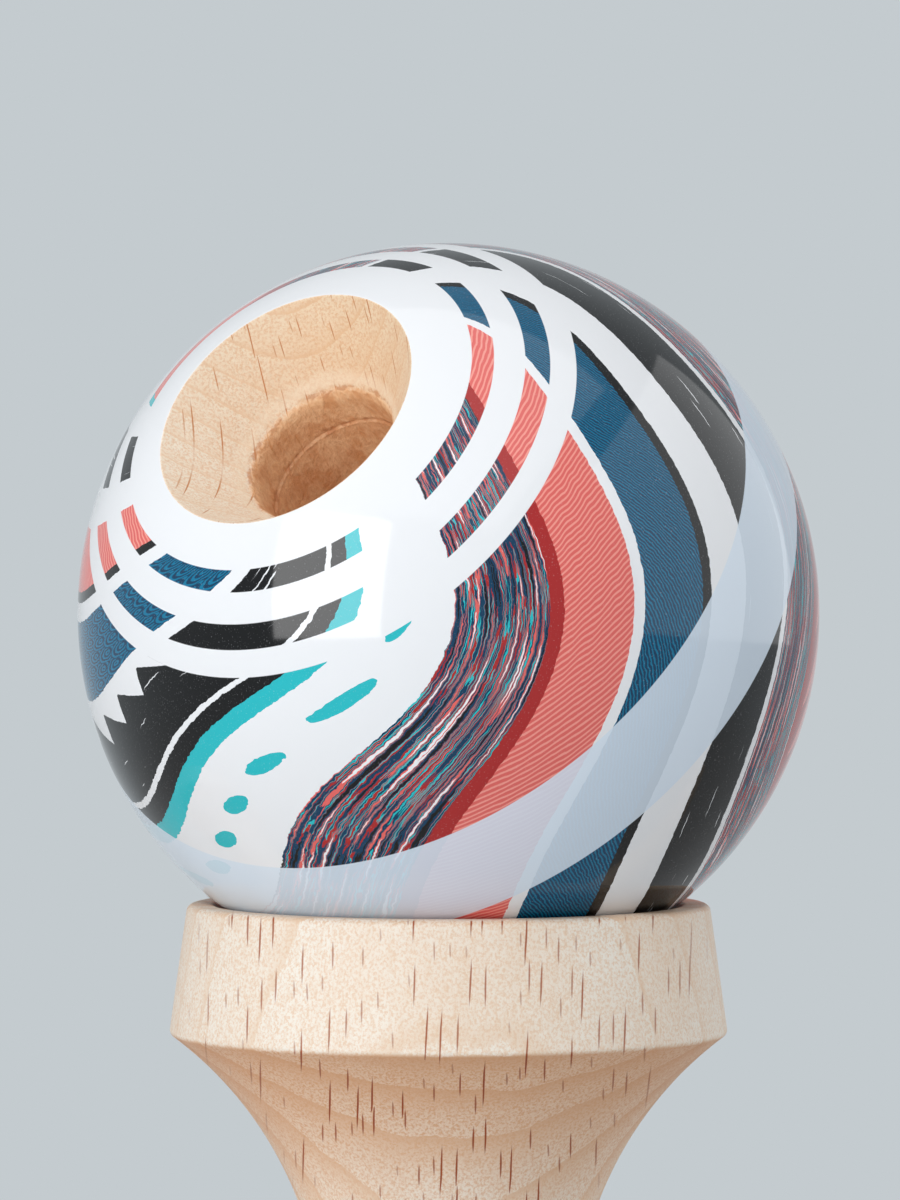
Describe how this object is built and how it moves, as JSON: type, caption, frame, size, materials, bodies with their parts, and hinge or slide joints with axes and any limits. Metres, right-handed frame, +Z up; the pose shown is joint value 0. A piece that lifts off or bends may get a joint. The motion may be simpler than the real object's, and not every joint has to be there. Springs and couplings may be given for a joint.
{
  "type": "kendama",
  "caption": "Wooden cup-and-ball skill toy: a lacquered ball with a bevelled hole rests in the big cup of a cross piece that is wedged on a spiked handle with a base cup.",
  "frame": {"origin": "centre of the small cup's rim, in the plane of that rim, which stands on the table", "axes": "+Z up along the cross piece, from the small cup to the big cup; +X along the handle, from the base cup to the spike; +Y away from the side that the ball's hole faces"},
  "size_m": [0.165, 0.06, 0.121],
  "materials": {
    "beech": "finely sanded beech, unvarnished",
    "ball_lacquer": "gloss clear lacquer over a white ground with a printed pattern",
    "bead_wood": "waxed wood"
  },
  "bodies": {
    "cross_piece": {"cross_piece": "beech"},
    "handle": {"handle": "beech"},
    "bead": {"string_bead": "bead_wood"},
    "ball": {"ball": "ball_lacquer"}
  },
  "joints": [
    {"name": "handle_pull", "type": "slide", "parent": "cross_piece", "child": "handle", "axis": [-1, 0, 0], "range_m": [0, 0.12]},
    {"name": "ball_lift", "type": "slide", "parent": "cross_piece", "child": "bead", "axis": [0, 0, 1], "range_m": [0, 0.1]},
    {"name": "ball_spin", "type": "hinge", "parent": "bead", "child": "ball", "pos_m": [0, 0, 0.09097], "axis": [-0.4582, -0.6667, 0.5878], "continuous": true}
  ]
}
